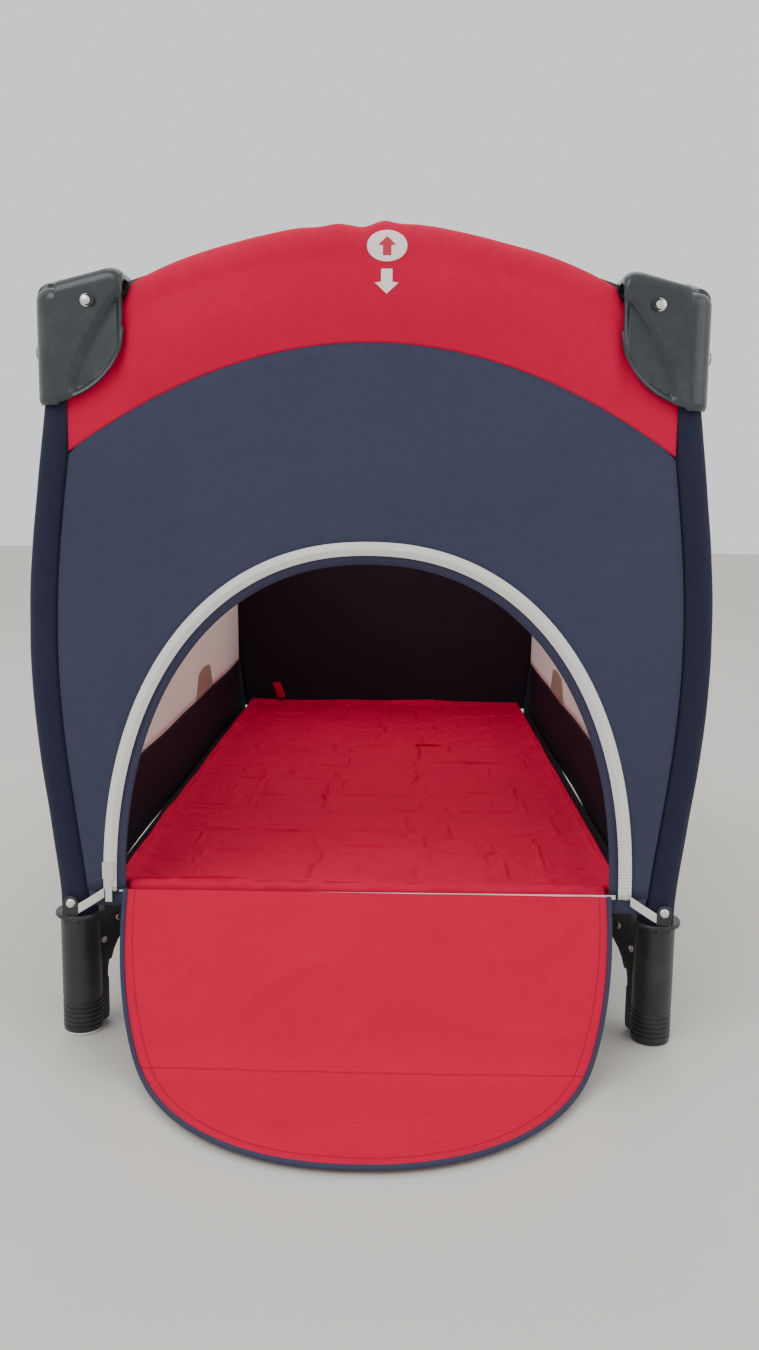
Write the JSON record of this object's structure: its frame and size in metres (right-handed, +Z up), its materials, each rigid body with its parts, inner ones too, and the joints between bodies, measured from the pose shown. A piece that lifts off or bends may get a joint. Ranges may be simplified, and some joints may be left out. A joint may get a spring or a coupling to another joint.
{
  "type": "playpen",
  "caption": "Folding travel cot with domed ends, mesh sides, a zipped door flap in one end and a padded mattress on a cross frame.",
  "frame": {"origin": "on the floor, at the centre of the middle foot's underside", "axes": "+X to the right seen from the door, +Y along the cot away from the door, +Z up"},
  "size_m": [0.7028, 1.493, 0.843],
  "materials": {
    "black_plastic": "fine satin moulding grain",
    "painted_steel": "semi-gloss black paint",
    "bright_metal": "bright rivet and zip metal",
    "red_plastic": "moulded",
    "navy_cloth": "plain woven polyester",
    "red_cloth": "plain woven polyester",
    "cream_mesh": "open knitted netting",
    "zip_tape": "woven tape with coil"
  },
  "bodies": {
    "corner_front_left": {"cap_front_left": "black_plastic", "post_front_left": "painted_steel", "post_sleeve_front_left": "navy_cloth", "leg_front_left": "black_plastic", "wall_front": "navy_cloth", "wall_left": "navy_cloth", "window_left": "cream_mesh", "cover_front": "red_cloth", "cover_left": "red_cloth", "door_tape": "zip_tape", "zip_slider": "bright_metal"},
    "strut_front_left": {"base_strut_front_left": "painted_steel"},
    "end_rail_front_left": {"end_rail_front_left": "painted_steel"},
    "side_rail_front_left": {"side_rail_front_left": "painted_steel"},
    "corner_front_right": {"cap_front_right": "black_plastic", "post_front_right": "painted_steel", "post_sleeve_front_right": "navy_cloth", "leg_front_right": "black_plastic", "wall_right": "navy_cloth", "window_right": "cream_mesh", "cover_right": "red_cloth"},
    "strut_front_right": {"base_strut_front_right": "painted_steel"},
    "end_rail_front_right": {"end_rail_front_right": "painted_steel"},
    "side_rail_front_right": {"side_rail_front_right": "painted_steel"},
    "corner_back_left": {"cap_back_left": "black_plastic", "post_back_left": "painted_steel", "post_sleeve_back_left": "navy_cloth", "leg_back_left": "black_plastic", "wall_back": "navy_cloth", "cover_back": "red_cloth"},
    "strut_back_left": {"base_strut_back_left": "painted_steel"},
    "end_rail_back_left": {"end_rail_back_left": "painted_steel"},
    "side_rail_back_left": {"side_rail_back_left": "painted_steel"},
    "corner_back_right": {"cap_back_right": "black_plastic", "post_back_right": "painted_steel", "post_sleeve_back_right": "navy_cloth", "leg_back_right": "black_plastic"},
    "strut_back_right": {"base_strut_back_right": "painted_steel"},
    "end_rail_back_right": {"end_rail_back_right": "painted_steel"},
    "side_rail_back_right": {"side_rail_back_right": "painted_steel"},
    "hub": {"hub": "black_plastic", "floor_cloth": "navy_cloth"},
    "hinge_front": {"mid_hinge_front": "black_plastic"},
    "button_front": {"lock_button_front": "red_plastic"},
    "hinge_back": {"mid_hinge_back": "black_plastic"},
    "button_back": {"lock_button_back": "red_plastic"},
    "hinge_left": {"mid_hinge_left": "black_plastic"},
    "button_left": {"lock_button_left": "red_plastic"},
    "hinge_right": {"mid_hinge_right": "black_plastic"},
    "button_right": {"lock_button_right": "red_plastic"},
    "mattress": {"mattress": "red_cloth"},
    "door_upper": {"door_flap_upper": "red_cloth"},
    "door_lower": {"door_flap_lower": "red_cloth"}
  },
  "joints": [
    {"name": "fold", "type": "hinge", "parent": "corner_front_left", "child": "strut_front_left", "pos_m": [-0.28447, -0.55495, 0.115], "axis": [0.8899, -0.4562, 0], "range_deg": [0, 85], "deforming": ["wall_front", "wall_back", "wall_left", "wall_right", "window_left", "window_right", "cover_front", "cover_back", "cover_left", "cover_right", "door_tape", "zip_slider", "floor_cloth", "door_flap_upper", "door_flap_lower", "mattress"]},
    {"name": "hub_level", "type": "hinge", "parent": "strut_front_left", "child": "hub", "pos_m": [-0.02281, -0.04449, 0.115], "axis": [0.8899, -0.4562, 0], "range_deg": [-85.05, 0]},
    {"name": "end_rail_front_left_drop", "type": "hinge", "parent": "corner_front_left", "child": "end_rail_front_left", "pos_m": [-0.275, -0.595, 0.762], "axis": [0, 1, 0], "range_deg": [0, 102.66]},
    {"name": "side_rail_front_left_drop", "type": "hinge", "parent": "corner_front_left", "child": "side_rail_front_left", "pos_m": [-0.305, -0.565, 0.762], "axis": [-1, 0, 0], "range_deg": [0, 85.11]},
    {"name": "strut_front_right_turn", "type": "hinge", "parent": "hub", "child": "strut_front_right", "pos_m": [0.02281, -0.04449, 0.115], "axis": [0.8899, 0.4562, 0], "range_deg": [0, 85.05]},
    {"name": "corner_front_right_level", "type": "hinge", "parent": "strut_front_right", "child": "corner_front_right", "pos_m": [0.28447, -0.55495, 0.115], "axis": [0.8899, 0.4562, 0], "range_deg": [-85.05, 0]},
    {"name": "end_rail_front_right_drop", "type": "hinge", "parent": "corner_front_right", "child": "end_rail_front_right", "pos_m": [0.275, -0.595, 0.762], "axis": [0, -1, 0], "range_deg": [0, 102.66]},
    {"name": "side_rail_front_right_drop", "type": "hinge", "parent": "corner_front_right", "child": "side_rail_front_right", "pos_m": [0.305, -0.565, 0.762], "axis": [-1, 0, 0], "range_deg": [0, 85.11]},
    {"name": "strut_back_left_turn", "type": "hinge", "parent": "hub", "child": "strut_back_left", "pos_m": [-0.02281, 0.04449, 0.115], "axis": [-0.8899, -0.4562, 0], "range_deg": [0, 85.05]},
    {"name": "corner_back_left_level", "type": "hinge", "parent": "strut_back_left", "child": "corner_back_left", "pos_m": [-0.28447, 0.55495, 0.115], "axis": [-0.8899, -0.4562, 0], "range_deg": [-85.05, 0]},
    {"name": "end_rail_back_left_drop", "type": "hinge", "parent": "corner_back_left", "child": "end_rail_back_left", "pos_m": [-0.275, 0.595, 0.762], "axis": [0, 1, 0], "range_deg": [0, 102.66]},
    {"name": "side_rail_back_left_drop", "type": "hinge", "parent": "corner_back_left", "child": "side_rail_back_left", "pos_m": [-0.305, 0.565, 0.762], "axis": [1, 0, 0], "range_deg": [0, 85.11]},
    {"name": "strut_back_right_turn", "type": "hinge", "parent": "hub", "child": "strut_back_right", "pos_m": [0.02281, 0.04449, 0.115], "axis": [-0.8899, 0.4562, 0], "range_deg": [0, 85.05]},
    {"name": "corner_back_right_level", "type": "hinge", "parent": "strut_back_right", "child": "corner_back_right", "pos_m": [0.28447, 0.55495, 0.115], "axis": [-0.8899, 0.4562, 0], "range_deg": [-85.05, 0]},
    {"name": "end_rail_back_right_drop", "type": "hinge", "parent": "corner_back_right", "child": "end_rail_back_right", "pos_m": [0.275, 0.595, 0.762], "axis": [0, -1, 0], "range_deg": [0, 102.66]},
    {"name": "side_rail_back_right_drop", "type": "hinge", "parent": "corner_back_right", "child": "side_rail_back_right", "pos_m": [0.305, 0.565, 0.762], "axis": [1, 0, 0], "range_deg": [0, 85.11]},
    {"name": "mid_hinge_front_level", "type": "hinge", "parent": "end_rail_front_left", "child": "hinge_front", "pos_m": [-0.034, -0.595, 0.81813], "axis": [0, 1, 0], "range_deg": [-102.66, 0]},
    {"name": "mid_hinge_back_level", "type": "hinge", "parent": "end_rail_back_left", "child": "hinge_back", "pos_m": [-0.034, 0.595, 0.81813], "axis": [0, 1, 0], "range_deg": [-102.66, 0]},
    {"name": "mid_hinge_left_level", "type": "hinge", "parent": "side_rail_front_left", "child": "hinge_left", "pos_m": [-0.305, -0.0551, 0.762], "axis": [-1, 0, 0], "range_deg": [-85.11, 0]},
    {"name": "mid_hinge_right_level", "type": "hinge", "parent": "side_rail_front_right", "child": "hinge_right", "pos_m": [0.305, -0.0551, 0.762], "axis": [-1, 0, 0], "range_deg": [-85.11, 0]},
    {"name": "lock_button_front", "type": "slide", "parent": "hinge_front", "child": "button_front", "axis": [0, 0, 1], "range_m": [0, 0.004]},
    {"name": "lock_button_back", "type": "slide", "parent": "hinge_back", "child": "button_back", "axis": [0, 0, 1], "range_m": [0, 0.004]},
    {"name": "lock_button_left", "type": "slide", "parent": "hinge_left", "child": "button_left", "axis": [0, 0, 1], "range_m": [0, 0.004]},
    {"name": "lock_button_right", "type": "slide", "parent": "hinge_right", "child": "button_right", "axis": [0, 0, 1], "range_m": [0, 0.004]},
    {"name": "mattress_lift", "type": "slide", "parent": "corner_front_left", "child": "mattress", "axis": [0, 0, 1], "range_m": [0, 0.851]},
    {"name": "door_open", "type": "hinge", "parent": "corner_front_left", "child": "door_upper", "pos_m": [0, -0.6155, 0.164], "axis": [-1, 0, 0], "range_deg": [0, 150]},
    {"name": "door_bend", "type": "hinge", "parent": "door_upper", "child": "door_lower", "pos_m": [0, -0.7085, 0.00292], "axis": [-1, 0, 0], "range_deg": [-60.05, 0]}
  ],
  "couplings": [
    {"joint": "hub_level", "follows": "fold", "ratio": -1},
    {"joint": "end_rail_front_left_drop", "follows": "fold", "ratio": 1.2072},
    {"joint": "side_rail_front_left_drop", "follows": "fold", "ratio": 1.0007},
    {"joint": "strut_front_right_turn", "follows": "fold", "ratio": 1},
    {"joint": "corner_front_right_level", "follows": "fold", "ratio": -1},
    {"joint": "end_rail_front_right_drop", "follows": "fold", "ratio": 1.2072},
    {"joint": "side_rail_front_right_drop", "follows": "fold", "ratio": 1.0007},
    {"joint": "strut_back_left_turn", "follows": "fold", "ratio": 1},
    {"joint": "corner_back_left_level", "follows": "fold", "ratio": -1},
    {"joint": "end_rail_back_left_drop", "follows": "fold", "ratio": 1.2072},
    {"joint": "side_rail_back_left_drop", "follows": "fold", "ratio": 1.0007},
    {"joint": "strut_back_right_turn", "follows": "fold", "ratio": 1},
    {"joint": "corner_back_right_level", "follows": "fold", "ratio": -1},
    {"joint": "end_rail_back_right_drop", "follows": "fold", "ratio": 1.2072},
    {"joint": "side_rail_back_right_drop", "follows": "fold", "ratio": 1.0007},
    {"joint": "mid_hinge_front_level", "follows": "fold", "ratio": -1.2072},
    {"joint": "mid_hinge_back_level", "follows": "fold", "ratio": -1.2072},
    {"joint": "mid_hinge_left_level", "follows": "fold", "ratio": -1.0007},
    {"joint": "mid_hinge_right_level", "follows": "fold", "ratio": -1.0007},
    {"joint": "mattress_lift", "follows": "fold", "m_per_rad": 0.57296},
    {"joint": "door_bend", "follows": "door_open", "ratio": -0.4}
  ]
}
